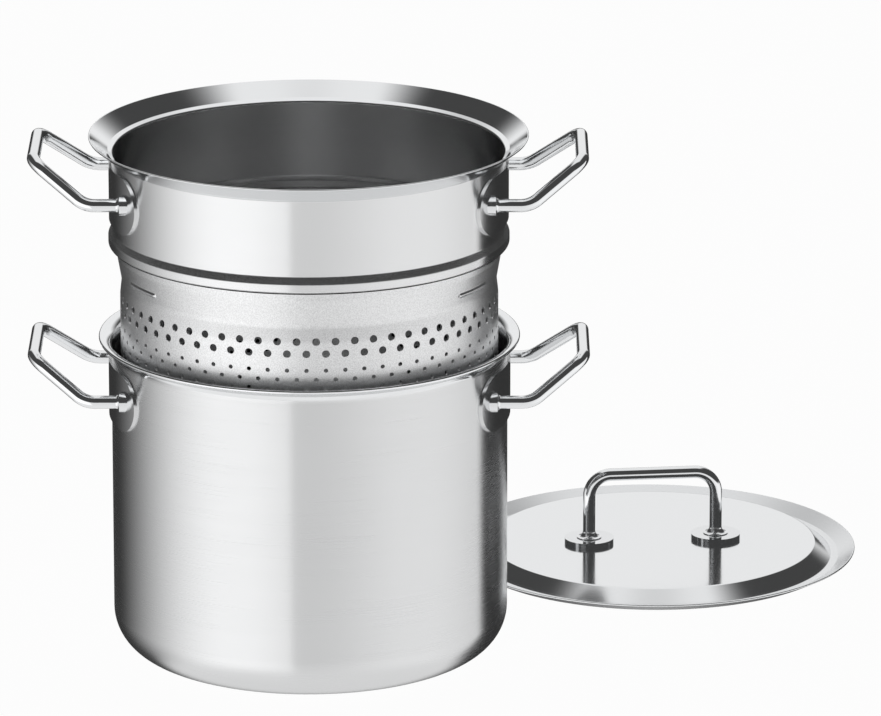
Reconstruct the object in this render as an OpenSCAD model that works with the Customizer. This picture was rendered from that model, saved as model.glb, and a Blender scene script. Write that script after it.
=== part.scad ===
// Pasta pot with a lift-out strainer insert and a lid laid beside it.
// Millimetres, +Z up. The origin is the middle of the pot's flat base, on the
// surface that it stands on, and +X runs through the right-hand handles.

/* [Pot] */
// Inside diameter of the pot
pot_d = 240; // [200:2:280]
// Height of the pot over its lip
pot_h = 203; // [160:1:260]
// Thickness of each stainless skin of the clad wall
skin_t = 0.5; // [0.3:0.1:0.8]
// Thickness of the aluminium core of the clad wall
core_t = 1.5; // [1:0.1:3]
// Clearance between the layers of the clad wall, which touch on the real pot
bond_gap = 0.03; // [0.02:0.01:0.1]
// Outside radius between the base and the wall
base_round = 28; // [15:1:40]
// Outside radius of the flare that makes the pouring lip
lip_round = 8; // [5:0.5:12]
// How far the flare turns outwards, in degrees
lip_turn = 80; // [60:1:88]

/* [Handles] */
// Diameter of the handle rods
rod_d = 8; // [6:0.5:10]
// Distance between the two feet of a side handle
foot_gap = 100; // [84:1:104]
// Distance between the corners of a side handle's grip
grip_w = 72; // [56:1:84]
// How far the grip stands out from the wall
grip_reach = 46.5; // [40:0.5:60]
// How far out of the wall the rods bend upwards
bend_reach = 14.5; // [12:0.5:20]
// How far the grip stands above the feet
grip_rise = 24; // [10:1:32]
// Bend radius of the rods near the feet, to the middle of the rod
foot_bend = 16; // [8:1:20]
// Bend radius of the corners of the grip, to the middle of the rod
grip_bend = 12; // [8:1:16]
// Depth of the pot's handle feet below its lip
pot_handle_drop = 30.5; // [28:0.5:50]
// Depth of the insert's handle feet below its lip
insert_handle_drop = 32.5; // [32:0.5:40]
// Height of the plate behind each side handle
plate_h = 36; // [30:1:38]
// Width of the plate, straight across
plate_w = 128; // [124:1:140]
// Thickness of the plate
plate_t = 1.8; // [1:0.1:3]
// How far the plate's middle lies below the feet
plate_drop = 1.5; // [0:0.5:3]
// Diameter of the weld bead round a rod's foot
weld_d = 12.5; // [10:0.5:14]
// How far the weld bead climbs along the rod
weld_l = 4.5; // [3:0.5:6]

/* [Collar of the insert] */
// Thickness of the collar's sheet
collar_t = 1; // [0.8:0.1:1.4]
// Outside diameter of the collar's wall
collar_d = 242.6; // [238:0.1:244]
// Height of the collar from its seat to its lip
collar_h = 68; // [66:0.5:80]
// Outside diameter of the bead that rests in the pot's flare
bead_d = 247.2; // [245:0.1:250]
// Height of the bead's straight face
bead_h = 5; // [3:0.5:7]
// Height of the slope from the bead up to the wall
bead_slope = 4.2; // [3:0.1:6]
// Width of the ledge inside the lip
ledge_w = 3; // [2:0.5:5]
// Rise of the ledge inside the lip
ledge_rise = 1.6; // [0.5:0.1:3]
// Outside diameter of the collar's lip
collar_lip_d = 270.5; // [262:0.5:280]
// Height of the collar's flare above the ledge
flare_h = 9.2; // [7:0.1:12]

/* [Basket of the insert] */
// Thickness of the basket's sheet
basket_t = 0.8; // [0.6:0.1:1.2]
// Outside diameter of the perforated wall
basket_d = 233.4; // [225:0.2:236]
// Outside diameter of the hem just under the collar
hem_d = 237; // [236:0.2:238]
// Outside diameter of the waist below the hem
waist_d = 231.2; // [224:0.2:232]
// Depth of the waist below the collar's seat
waist_depth = 22.5; // [18:0.5:26]
// Depth of the whole basket below the collar's seat
basket_depth = 168; // [120:1:168]
// Radius between the basket's wall and its floor
basket_round = 18; // [10:1:25]
// Large holes in each row round the wall
large_round = 62; // [40:1:72]
// Diameter of the large holes
large_hole = 4.8; // [3:0.1:5]
// Depth of the first large row below the seat
large_depth = 32; // [32:0.5:36]
// Height between the two large rows
large_pitch = 7.6; // [6:0.1:10]
// Small holes in each row round the wall
small_round = 31; // [20:1:62]
// Diameter of the small holes
small_hole = 2.7; // [2:0.1:3]
// Height from the large rows to the first small row
small_gap = 10.4; // [6:0.1:12]
// Height between the small rows
small_pitch = 11.6; // [9:0.2:14]
// Distance between the rings of holes in the floor
floor_pitch = 16; // [12:1:20]

/* [Places in the photograph] */
// How far the insert is held above its seat
insert_raise = 61; // [0:1:80]
// Clearance left between the insert and its seat
seat_gap = 0.3; // [0.2:0.1:1]
// Place of the lid along X
lid_x = 218; // [200:1:400]
// Place of the lid along Y
lid_y = 189.5; // [185:0.5:400]
// How far the lid is turned about its own axis
lid_turn = 6.6; // [-10:0.2:10]

/* [Lid] */
// Thickness of the lid's sheet
lid_t = 1.2; // [0.8:0.1:1.6]
// Outside diameter of the lid
lid_d = 261.6; // [256:0.2:270]
// Diameter of the raised flat middle
plateau_d = 209; // [190:1:216]
// Height of the flat middle above the channel
plateau_rise = 8.3; // [5:0.1:12]
// Diameter where the slope meets the channel
channel_in_d = 231; // [226:1:233]
// Diameter where the channel meets the rim
channel_out_d = 240; // [237:1:244]
// Rise of the lid's rim above the channel
lid_rim_rise = 5.4; // [3:0.1:8]
// Distance between the posts of the lid's handle
lid_grip_w = 82.5; // [70:0.5:100]
// Height of the lid's handle over the flat middle
lid_grip_h = 48.5; // [36:0.5:60]
// Bend radius of the lid's handle, to the middle of the rod
lid_grip_bend = 14; // [8:1:18]
// Diameter of the washers under the lid's handle
washer_d = 32; // [24:1:40]
// Thickness of the washers
washer_t = 3; // [2:0.5:4]
// Diameter of the weld beads on the lid
lid_weld_d = 16; // [12:0.5:20]

/* [Hidden] */
$fn = 96;

left = -1;
right = 1;

wall_t = 2 * skin_t + core_t;
pot_r = pot_d / 2 + wall_t;
rod_r = rod_d / 2;
weld_r = weld_d / 2;

// The flare is a ring sector round a centre outside the wall, and a round nose
// closes it. flare_z is where the wall starts to turn.
lip_centre = pot_r + lip_round;
lip_mid = lip_round + wall_t / 2;
flare_z = pot_h - lip_mid * sin(lip_turn) - wall_t / 2;
lip_end = 180 - lip_turn;
// Part of the flare, in degrees, where the outer skin closes over the core
lip_seal = 6;
bond_turn = bond_gap / lip_mid * 180 / PI;
// Straight steps in each rounded corner of a section
arc_steps = 10;
// Sides of a swept rod, and steps in each of its bends
rod_sides = 20;
bend_steps = 7;
// Facets of a cylinder that trims a small piece to a wall
trim_fn = 480;

// The insert's own zero is the underside of its bead. Seated, the bead's
// lower corner meets the inside of the pot's flare.
flare_in = lip_round + wall_t;
seat_side = lip_centre - bead_d / 2;
seat_z = flare_z + sqrt(flare_in * flare_in - seat_side * seat_side);
insert_z = seat_z + seat_gap + insert_raise;

collar_r = collar_d / 2;
collar_mid = collar_r - collar_t / 2;
bead_mid = bead_d / 2 - collar_t / 2;
hem_mid = hem_d / 2 - basket_t / 2;
basket_mid = basket_d / 2 - basket_t / 2;
waist_mid = waist_d / 2 - basket_t / 2;
// The basket's flange lies under the bead, a little inside its face
flange_end = bead_mid - 1.2;
hem_h = 6;
waist_to_wall = 10;

small_top = large_depth + large_pitch + small_gap;
small_room = basket_depth - basket_round - small_hole - small_top;
small_rows = floor(small_room / small_pitch) + 1;
floor_edge = basket_mid - basket_round - small_hole;
floor_rings = floor(floor_edge / floor_pitch);

lid_mid = lid_t / 2;
lid_top = lid_t + plateau_rise;

function unit(v) = v / norm(v);
function side_of(v) = unit(cross(v, abs(v.z) < 0.9 ? [0, 0, 1] : [1, 0, 0]));
function heading(a, b) = atan2(b.y - a.y, b.x - a.x);
function wrap(a) = a > 180 ? a - 360 : a < -180 ? a + 360 : a;
function left_of(a, b) = let (at = heading(a, b)) [-sin(at), cos(at)];

// Points along an arc round c, from one angle to another.
function arc(c, r, from, to) = [
    for (i = [0:arc_steps])
        let (at = from + (to - from) * i / arc_steps)
            c + r * [cos(at), sin(at)]
];
function reversed(list) = [for (i = [len(list) - 1:-1:0]) list[i]];

// Turn of a path at each corner between its ends.
function turns(path) = [
    for (i = [1:len(path) - 2])
        wrap(heading(path[i], path[i + 1]) - heading(path[i - 1], path[i]))
];

// One side of a bent sheet: its path moved off to the left, with an arc at
// each corner. The radii are measured to the path itself.
function bent_side(path, radii, off) =
    let (turn = turns(path), last = len(path) - 1)
    concat(
        [path[0] + off * left_of(path[0], path[1])],
        [
            for (i = [1:last - 1])
                let (
                    before = heading(path[i - 1], path[i]),
                    hand = sign(turn[i - 1]),
                    r = radii[i - 1],
                    back = r * tan(abs(turn[i - 1]) / 2),
                    start = path[i] - back * [cos(before), sin(before)],
                    from = before - 90 * hand,
                    centre = start - r * [cos(from), sin(from)]
                )
                each arc(centre, r - hand * off, from, from + turn[i - 1])
        ],
        [path[last] + off * left_of(path[last - 1], path[last])]
    );

// Section of a sheet of thickness t bent along a path, with a square start and
// a round end.
function bent_sheet(path, radii, t) =
    let (last = len(path) - 1, end = heading(path[last - 1], path[last]))
    concat(
        bent_side(path, radii, -t / 2),
        arc(path[last], t / 2, end - 90, end + 90),
        reversed(bent_side(path, radii, t / 2))
    );

// One face of the clad pot at a depth from its outer face, from the middle of
// the base up to an angle in the flare.
function pot_face(depth, lip_end) = concat(
    [[0, depth]],
    arc([pot_r - base_round, base_round], base_round - depth, -90, 0),
    arc([lip_centre, flare_z], lip_round + depth, 180, lip_end)
);

// Section of one layer of the clad pot, between two depths.
function pot_layer(outer, inner, lip_end) =
    concat(pot_face(outer, lip_end), reversed(pot_face(inner, lip_end)));

// The outer skin also closes the lip: it ends in a round nose as thick as the
// wall, and fills the gap that the core leaves.
function outer_skin() =
    let (
        flare = [lip_centre, flare_z],
        nose = flare + lip_mid * [cos(lip_end), sin(lip_end)]
    )
    concat(
        pot_face(0, lip_end),
        arc(nose, wall_t / 2, lip_end - 180, lip_end),
        arc(flare, lip_round + wall_t - skin_t - bond_gap, lip_end, lip_end + lip_seal),
        reversed(pot_face(skin_t, lip_end + lip_seal))
    );

module pot_outer_skin() {
    color("#b9bcbe")
        rotate_extrude()
            polygon(outer_skin());
}

module pot_core() {
    color("#d4d6d8")
        rotate_extrude()
            polygon(pot_layer(
                skin_t + bond_gap, wall_t - skin_t - bond_gap, lip_end + lip_seal + bond_turn
            ));
}

module pot_inner_skin() {
    color("#8f9294")
        rotate_extrude()
            polygon(pot_layer(wall_t - skin_t, wall_t, lip_end + bond_turn));
}

// A straight rod from a to b.
module rod(a, b) {
    z = unit(b - a);
    x = side_of(z);
    y = cross(z, x);
    multmatrix([
        [x.x, y.x, z.x, a.x],
        [x.y, y.y, z.y, a.y],
        [x.z, y.z, z.z, a.z],
        [0, 0, 0, 1]
    ])
        cylinder(h = norm(b - a), r = rod_r);
}

// A bend of the rod at corner p, from direction u to direction v.
module rod_bend(p, u, v, r) {
    turn = acos(u * v);
    inward = unit(v - (u * v) * u);
    start = p - u * r * tan(turn / 2);
    centre = start + inward * r;
    x = -inward;
    z = cross(x, u);
    multmatrix([
        [x.x, u.x, z.x, centre.x],
        [x.y, u.y, z.y, centre.y],
        [x.z, u.z, z.z, centre.z],
        [0, 0, 0, 1]
    ])
        rotate_extrude(angle = turn)
            translate([r, 0])
                circle(r = rod_r);
}

// A rod bent along a path in one plane, with a radius for each inner corner.
module bent_rod(path, radii) {
    last = len(path) - 1;
    dirs = [for (i = [0:last - 1]) unit(path[i + 1] - path[i])];
    cut = concat(
        [0],
        [for (i = [1:last - 1]) radii[i - 1] * tan(acos(dirs[i - 1] * dirs[i]) / 2)],
        [0]
    );
    for (i = [0:last - 1])
        rod(path[i] + dirs[i] * cut[i], path[i + 1] - dirs[i] * cut[i + 1]);
    for (i = [1:last - 1])
        rod_bend(path[i], dirs[i - 1], dirs[i], radii[i - 1]);
}

// Puts a right-hand piece on either side of the wall, at height z.
module on_side(side, z) {
    translate([0, 0, z])
        mirror([side < 0 ? 1 : 0, 0, 0])
            children();
}

// A plate curved to a wall of radius r, with round ends.
module side_plate(r) {
    intersection() {
        difference() {
            cylinder(h = plate_h, r = r + plate_t, center = true);
            cylinder(h = plate_h + 1, r = r, center = true);
        }
        rotate([90, 0, 90])
            linear_extrude(height = r + 2 * plate_t) {
                square([plate_w - plate_h, plate_h], center = true);
                for (y = [-1, 1])
                    translate([y * (plate_w - plate_h) / 2, 0])
                        circle(d = plate_h);
            }
    }
}

// Places and directions along one bend of a rod, at corner p.
function bend_stations(p, u, v, r) =
    let (
        turn = acos(u * v),
        inward = unit(v - (u * v) * u),
        centre = p - u * r * tan(turn / 2) + inward * r
    )
    [
        for (i = [0:bend_steps])
            let (at = turn * i / bend_steps)
                [centre + r * (sin(at) * u - cos(at) * inward), cos(at) * u + sin(at) * inward]
    ];

// Places and directions along a whole path, with one radius for each corner.
function stations(path, radii) =
    let (
        last = len(path) - 1,
        dirs = [for (i = [0:last - 1]) unit(path[i + 1] - path[i])]
    )
    concat(
        [[path[0], dirs[0]]],
        [for (i = [1:last - 1]) each bend_stations(path[i], dirs[i - 1], dirs[i], radii[i - 1])],
        [[path[last], dirs[last - 1]]]
    );

// A side direction for each station, turned as little as the path allows.
function side_dirs(along, i, side) =
    i == len(along) ? [] :
    let (next = unit(side - (side * along[i][1]) * along[i][1]))
    concat([next], side_dirs(along, i + 1, next));

// The points of each ring of a swept rod. The first and last ring are moved
// along X on to a plate curved to radius r.
function rod_rings(along, r) =
    let (side = side_dirs(along, 0, [0, 0, 1]), last = len(along) - 1)
    [
        for (i = [0:last])
            let (other = cross(along[i][1], side[i]))
                for (k = [0:rod_sides - 1])
                    let (
                        at = 360 * k / rod_sides,
                        q = along[i][0] + rod_r * (cos(at) * side[i] + sin(at) * other)
                    )
                        i == 0 || i == last ? [sqrt(r * r - q.y * q.y), q.y, q.z] : q
    ];

// The triangles between the rings, and over both ends.
function rod_faces(rings) = concat(
    [
        for (i = [0:rings - 2], k = [0:rod_sides - 1])
            let (
                a = i * rod_sides + k,
                b = i * rod_sides + (k + 1) % rod_sides
            )
                each [[a, b + rod_sides, b], [a, a + rod_sides, b + rod_sides]]
    ],
    [for (k = [1:rod_sides - 2]) [0, k, k + 1]],
    [for (k = [1:rod_sides - 2]) let (z = (rings - 1) * rod_sides) [z, z + k + 1, z + k]]
);

// The rod of a side handle. Its feet end on the face of the plate that they
// are welded to.
module side_handle(r) {
    foot = foot_gap / 2;
    grip = grip_w / 2;
    face = sqrt(pow(r + plate_t, 2) - foot * foot);
    along = stations(
        [
            [face, -foot, 0],
            [r + bend_reach, -foot, 0],
            [r + grip_reach, -grip, grip_rise],
            [r + grip_reach, grip, grip_rise],
            [r + bend_reach, foot, 0],
            [face, foot, 0]
        ],
        [foot_bend, grip_bend, grip_bend, foot_bend]
    );
    polyhedron(rod_rings(along, r + plate_t), rod_faces(len(along)));
}

// The weld beads round both feet of a side handle, hollow towards the rod.
module side_welds(r) {
    foot = foot_gap / 2;
    face = sqrt(pow(r + plate_t, 2) - foot * foot);
    hidden = weld_r;
    difference() {
        for (y = [-1, 1])
            translate([face, y * foot, 0])
                rotate([0, 90, 0])
                    rotate_extrude()
                        weld_profile(weld_r, weld_l, hidden);
        cylinder(h = 4 * weld_d, r = r + plate_t, center = true, $fn = trim_fn);
    }
}

// Half section of a weld bead round a rod: outside radius, height, and depth
// below the face that it stands on.
module weld_profile(outer, height, below) {
    leg = min(outer - rod_r, height);
    polygon(concat(
        [[rod_r, -below], [rod_r + leg, -below]],
        arc([rod_r + leg, height], leg, 270, 180),
        [[rod_r, height]]
    ));
}

module pot_handle_z(side) {
    on_side(side, pot_h - pot_handle_drop)
        children();
}

module insert_handle_z(side) {
    on_side(side, insert_z + collar_h - insert_handle_drop)
        children();
}

module pot_plate(side) {
    color("#a9acae")
        pot_handle_z(side)
            translate([0, 0, -plate_drop])
                side_plate(pot_r);
}

module pot_plate_left() {
    pot_plate(left);
}

module pot_plate_right() {
    pot_plate(right);
}

module pot_handle(side) {
    color("#dfe1e3")
        pot_handle_z(side)
            side_handle(pot_r);
}

module pot_handle_left() {
    pot_handle(left);
}

module pot_handle_right() {
    pot_handle(right);
}

module pot_welds(side) {
    color("#eceded")
        pot_handle_z(side)
            side_welds(pot_r);
}

module pot_welds_left() {
    pot_welds(left);
}

module pot_welds_right() {
    pot_welds(right);
}

// Collar of the insert: a flange under the bead, the bead, a slope, the wall,
// a narrow ledge for the lid, and the flared lip with its round edge.
module insert_collar() {
    bead_top = collar_t / 2 + bead_h;
    ledge_z = collar_h - flare_h - ledge_rise;
    lip = [collar_lip_d / 2 - collar_t / 2, collar_h - collar_t / 2];
    path = [
        [hem_mid, collar_t / 2],
        [bead_mid, collar_t / 2],
        [bead_mid, bead_top],
        [collar_mid, bead_top + bead_slope],
        [collar_mid, ledge_z],
        [collar_mid + ledge_w, ledge_z + ledge_rise],
        lip
    ];
    radii = [0.9, 1.6, 2, 1.2, 2.5];
    color("#c3c5c7")
        translate([0, 0, insert_z])
            rotate_extrude()
                polygon(bent_sheet(path, radii, collar_t));
}

// Section of the basket from the middle of its floor up to its flange.
module basket_section() {
    flange_z = -basket_t / 2;
    floor_z = basket_t / 2 - basket_depth;
    path = [
        [0, floor_z],
        [basket_mid, floor_z],
        [basket_mid, -waist_depth - waist_to_wall],
        [waist_mid, -waist_depth],
        [hem_mid, -hem_h],
        [hem_mid, flange_z],
        [flange_end, flange_z]
    ];
    polygon(bent_sheet(path, [basket_round, 14, 14, 8, 1], basket_t));
}

// A row of holes round the wall, at a depth below the seat.
module hole_row(depth, d, count, shift) {
    step = 360 / count;
    for (i = [0:count - 1])
        rotate([0, 90, (i + shift) * step])
            translate([depth, 0, waist_mid - 2 * basket_t])
                cylinder(h = basket_mid - waist_mid + 4 * basket_t, d = d, $fn = 24);
}

// Rings of holes in the floor, as evenly spaced as the ring allows.
module floor_holes() {
    for (k = [1:floor_rings]) {
        r = k * floor_pitch;
        count = floor(2 * PI * r / floor_pitch);
        for (i = [0:count - 1])
            rotate([0, 0, i * 360 / count])
                translate([r, 0, -basket_depth - basket_t])
                    cylinder(h = 3 * basket_t, d = small_hole, $fn = 24);
    }
}

module insert_basket() {
    color("#9fa2a3")
        translate([0, 0, insert_z])
            difference() {
                rotate_extrude()
                    basket_section();
                hole_row(large_depth, large_hole, large_round, 0);
                hole_row(large_depth + large_pitch, large_hole, large_round, 0.5);
                for (k = [0:small_rows - 1])
                    hole_row(small_top + k * small_pitch, small_hole, small_round, k % 2 / 2);
                floor_holes();
            }
}

module insert_plate(side) {
    color("#a9acae")
        insert_handle_z(side)
            translate([0, 0, -plate_drop])
                side_plate(collar_r);
}

module insert_plate_left() {
    insert_plate(left);
}

module insert_plate_right() {
    insert_plate(right);
}

module insert_handle(side) {
    color("#dfe1e3")
        insert_handle_z(side)
            side_handle(collar_r);
}

module insert_handle_left() {
    insert_handle(left);
}

module insert_handle_right() {
    insert_handle(right);
}

module insert_welds(side) {
    color("#eceded")
        insert_handle_z(side)
            side_welds(collar_r);
}

module insert_welds_left() {
    insert_welds(left);
}

module insert_welds_right() {
    insert_welds(right);
}

// Puts a piece of the lid at the lid's place, turned as it lies.
module on_lid() {
    translate([lid_x, lid_y, 0])
        rotate([0, 0, lid_turn])
            children();
}

// The lid's sheet: flat middle, slope, channel that it lies on, and rim.
module lid_disc() {
    rim = [lid_d / 2 - lid_mid, lid_mid + lid_rim_rise];
    path = [
        [0, lid_mid + plateau_rise],
        [plateau_d / 2, lid_mid + plateau_rise],
        [channel_in_d / 2, lid_mid],
        [channel_out_d / 2, lid_mid],
        rim
    ];
    color("#d9dbdd")
        on_lid()
            rotate_extrude()
                polygon(bent_sheet(path, [1.4, 2.5, 3], lid_t));
}

module lid_handle() {
    reach = lid_grip_w / 2;
    top = lid_top + lid_grip_h - rod_r;
    color("#dfe1e3")
        on_lid()
            bent_rod(
                [[-reach, 0, lid_top], [-reach, 0, top], [reach, 0, top], [reach, 0, lid_top]],
                [lid_grip_bend, lid_grip_bend]
            );
}

module lid_washer(side) {
    color("#cfd1d3")
        on_lid()
            translate([side * lid_grip_w / 2, 0, lid_top])
                difference() {
                    cylinder(h = washer_t, d = washer_d);
                    translate([0, 0, -1])
                        cylinder(h = washer_t + 2, r = rod_r);
                }
}

module lid_washer_left() {
    lid_washer(left);
}

module lid_washer_right() {
    lid_washer(right);
}

module lid_weld(side) {
    color("#eceded")
        on_lid()
            translate([side * lid_grip_w / 2, 0, lid_top + washer_t])
                rotate_extrude()
                    weld_profile(lid_weld_d / 2, weld_l, 0);
}

module lid_weld_left() {
    lid_weld(left);
}

module lid_weld_right() {
    lid_weld(right);
}

pot_outer_skin();
pot_core();
pot_inner_skin();
pot_plate_left();
pot_plate_right();
pot_handle_left();
pot_handle_right();
pot_welds_left();
pot_welds_right();
insert_collar();
insert_basket();
insert_plate_left();
insert_plate_right();
insert_handle_left();
insert_handle_right();
insert_welds_left();
insert_welds_right();
lid_disc();
lid_handle();
lid_washer_left();
lid_washer_right();
lid_weld_left();
lid_weld_right();
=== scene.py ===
"""Looks for the pasta pot with its strainer insert and lid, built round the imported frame."""

import math

import bpy
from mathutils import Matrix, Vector


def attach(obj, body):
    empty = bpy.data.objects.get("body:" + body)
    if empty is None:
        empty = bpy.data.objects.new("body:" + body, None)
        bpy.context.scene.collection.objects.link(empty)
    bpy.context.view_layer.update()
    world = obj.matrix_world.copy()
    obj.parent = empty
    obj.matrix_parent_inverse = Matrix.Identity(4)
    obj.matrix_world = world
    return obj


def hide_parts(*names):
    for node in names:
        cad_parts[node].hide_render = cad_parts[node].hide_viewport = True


bl_info = {
    "name": "Pasta Pot",
    "version": (1, 0, 0),
    "blender": (4, 5, 0),
    "location": "View3D > Sidebar > Pasta Pot",
    "description": "Builds the visible pieces of a pasta pot with a strainer insert and a lid",
    "category": "Object",
}

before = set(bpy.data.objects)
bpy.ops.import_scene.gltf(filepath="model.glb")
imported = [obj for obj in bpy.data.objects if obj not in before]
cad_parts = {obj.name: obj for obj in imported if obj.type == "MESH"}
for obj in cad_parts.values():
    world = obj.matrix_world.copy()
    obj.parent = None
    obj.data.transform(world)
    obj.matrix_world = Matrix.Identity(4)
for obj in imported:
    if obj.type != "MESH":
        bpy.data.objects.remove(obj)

SIDES = {"left": -1, "right": 1}
MM = 0.001
TINY = 1e-7
# Middle of a noise
CENTRED = 0.5
# Fine brush lines to a metre, on the walls and on the lid's rim, and their slow change along
WALL_LINES = 2600.0
RIM_LINES = 3000.0
LINES_ALONG = 14.0
# Quarter turn from the direction round the axis, as the shader counts it
ACROSS = 0.25
# How far brushed steel blurs reflections across its lines, on the walls and inside the pot
WALL_BRUSH = 0.9
INSIDE_BRUSH = 0.5
# Width over which brushed steel turns into polished steel
POLISH_EDGE = 2 * MM
# Bend radii of the sheets, from the middle or the lower end
COLLAR_BENDS = (0.9 * MM, 1.6 * MM, 2 * MM, 1.2 * MM, 2.5 * MM)
BASKET_BENDS = (14 * MM, 14 * MM, 8 * MM, 1 * MM)
LID_BENDS = (1.4 * MM, 2.5 * MM, 3 * MM)
# How far the basket's flange ends inside the face of the bead
FLANGE_INSET = 1.2 * MM
# Angle from which an edge of a small piece stays sharp
SHARP = math.radians(32)
# Gap between the floor and the base
FLOOR_GAP = 0.2 * MM


def length(name, description, default):
    """A length property, written in millimetres and kept in metres."""
    return bpy.props.FloatProperty(
        name=name,
        description=description,
        default=default * MM,
        min=0.0,
        unit="LENGTH",
        subtype="DISTANCE",
    )


def angle(name, description, default):
    """An angle property, written in degrees."""
    return bpy.props.FloatProperty(
        name=name, description=description, default=math.radians(default), subtype="ANGLE"
    )


def share(name, description, default, highest=1.0):
    """A plain number from 0 to a highest value."""
    return bpy.props.FloatProperty(
        name=name, description=description, default=default, min=0.0, max=highest
    )


def colour(name, description, *default):
    """A colour, in linear light."""
    return bpy.props.FloatVectorProperty(
        name=name, description=description, default=default, size=3, subtype="COLOR"
    )


def count(name, description, default):
    """A whole number above 0."""
    return bpy.props.IntProperty(name=name, description=description, default=default, min=1)


class PotSettings(bpy.types.PropertyGroup):
    """Sizes of the clad pot."""

    inner_d: length("Inside diameter", "Inside diameter of the pot", 240)
    height: length("Height", "Height of the pot over its lip", 203)
    skin: length("Skin", "Thickness of each stainless skin", 0.5)
    core: length("Core", "Thickness of the aluminium core", 1.5)
    base_round: length("Base radius", "Outside radius between the base and the wall", 28)
    lip_round: length("Lip radius", "Outside radius of the flare of the lip", 8)
    lip_turn: angle("Lip turn", "How far the flare turns outwards", 80)
    lip_seal: angle("Lip seal", "Part of the flare where the outer skin closes over the core", 6)
    foot_drop: length("Handle drop", "Depth of the handle feet below the lip", 30.5)


class RodSettings(bpy.types.PropertyGroup):
    """Sizes of the side handles."""

    diameter: length("Rod", "Diameter of the rods", 8)
    foot_gap: length("Feet", "Distance between the two feet", 100)
    grip_w: length("Grip width", "Distance between the corners of the grip", 72)
    reach: length("Reach", "How far the grip stands out from the wall", 46.5)
    bend_reach: length("First bend", "How far out of the wall the rods bend upwards", 14.5)
    rise: length("Rise", "How far the grip stands above the feet", 24)
    foot_bend: length("Foot bend", "Bend radius near the feet", 16)
    grip_bend: length("Grip bend", "Bend radius of the corners of the grip", 12)
    plate: length("Plate", "Thickness of the plate behind each handle", 1.8)


class InsertSettings(bpy.types.PropertyGroup):
    """Sizes of the insert."""

    seat_z: length("Seat", "Height of the underside of the bead at rest", 261.855)
    sheet: length("Collar sheet", "Thickness of the collar's sheet", 1)
    wall_d: length("Collar", "Outside diameter of the collar's wall", 242.6)
    height: length("Height", "Height of the collar from its seat to its lip", 68)
    bead_d: length("Bead", "Outside diameter of the bead", 247.2)
    bead_h: length("Bead height", "Height of the bead's straight face", 5)
    bead_slope: length("Bead slope", "Height of the slope from the bead up to the wall", 4.2)
    ledge_w: length("Ledge width", "Width of the ledge inside the lip", 3)
    ledge_rise: length("Ledge rise", "Rise of the ledge inside the lip", 1.6)
    lip_d: length("Lip", "Outside diameter of the lip", 270.5)
    flare_h: length("Flare", "Height of the flare above the ledge", 9.2)
    foot_drop: length("Handle drop", "Depth of the handle feet below the lip", 32.5)
    mesh_t: length("Basket sheet", "Thickness of the basket's sheet", 0.8)
    basket_d: length("Basket", "Outside diameter of the perforated wall", 233.4)
    hem_d: length("Hem", "Outside diameter of the hem under the collar", 237)
    hem_h: length("Hem height", "Height of the hem", 6)
    waist_d: length("Waist", "Outside diameter of the waist", 231.2)
    waist_depth: length("Waist depth", "Depth of the waist below the seat", 22.5)
    waist_to_wall: length("Waist slope", "Height from the waist down to the full wall", 10)
    depth: length("Basket depth", "Depth of the basket below the seat", 168)
    round: length("Floor radius", "Radius between the basket's wall and its floor", 18)
    holes_round: count("Holes round", "Holes in each row round the wall", 62)
    large_hole: length("Large holes", "Diameter of the large holes", 4.8)
    large_depth: length("Large row", "Depth of the first large row below the seat", 32)
    large_pitch: length("Large pitch", "Height between the two large rows", 7.6)
    small_hole: length("Small holes", "Diameter of the small holes", 2.7)
    small_gap: length("Small gap", "Height from the large rows to the first small row", 10.4)
    small_pitch: length("Small pitch", "Height between the small rows", 5.8)
    small_rows: count("Small rows", "Rows of small holes", 17)
    floor_pitch: length("Floor pitch", "Distance between the rings of holes in the floor", 16)
    floor_rings: count("Floor rings", "Rings of holes in the floor", 6)
    bump_depth: length("Bump depth", "Depth of the pressed bumps below the seat", 15.8)
    bump_l: length("Bump length", "Length of each pressed bump", 33)
    bump_w: length("Bump width", "Width of each pressed bump", 4)
    bump_h: length("Bump height", "How far each bump stands out", 1.1)
    bump_turn: angle("Bump place", "Angle of each bump from the handles' plane", 30)


class LidSettings(bpy.types.PropertyGroup):
    """Sizes and place of the lid."""

    x: length("X", "Place of the lid along X", 218)
    y: length("Y", "Place of the lid along Y", 189.5)
    turn: angle("Turn", "How far the lid is turned", 6.6)
    sheet: length("Sheet", "Thickness of the lid's sheet", 1.2)
    diameter: length("Diameter", "Outside diameter of the lid", 261.5)
    plateau_d: length("Middle", "Diameter of the raised flat middle", 209)
    plateau_rise: length("Rise", "Height of the flat middle above the channel", 8.3)
    channel_in_d: length("Channel inside", "Diameter where the slope meets the channel", 231)
    channel_out_d: length("Channel outside", "Diameter where the channel meets the rim", 240)
    rim_rise: length("Rim", "Rise of the rim above the channel", 5.4)
    grip_w: length("Grip width", "Distance between the handle's posts", 82.5)
    grip_h: length("Grip height", "Height of the handle over the flat middle", 48.5)
    grip_bend: length("Grip bend", "Bend radius of the handle", 14)


class DetailSettings(bpy.types.PropertyGroup):
    """How finely the pieces are divided."""

    round_steps: count("Steps round", "Steps round each turned piece", 496)
    arc_steps: count("Arc steps", "Steps in each rounded corner", 18)
    rod_sides: count("Rod sides", "Sides of a rod", 40)
    bend_steps: count("Bend steps", "Steps in each bend of a rod", 20)


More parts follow.
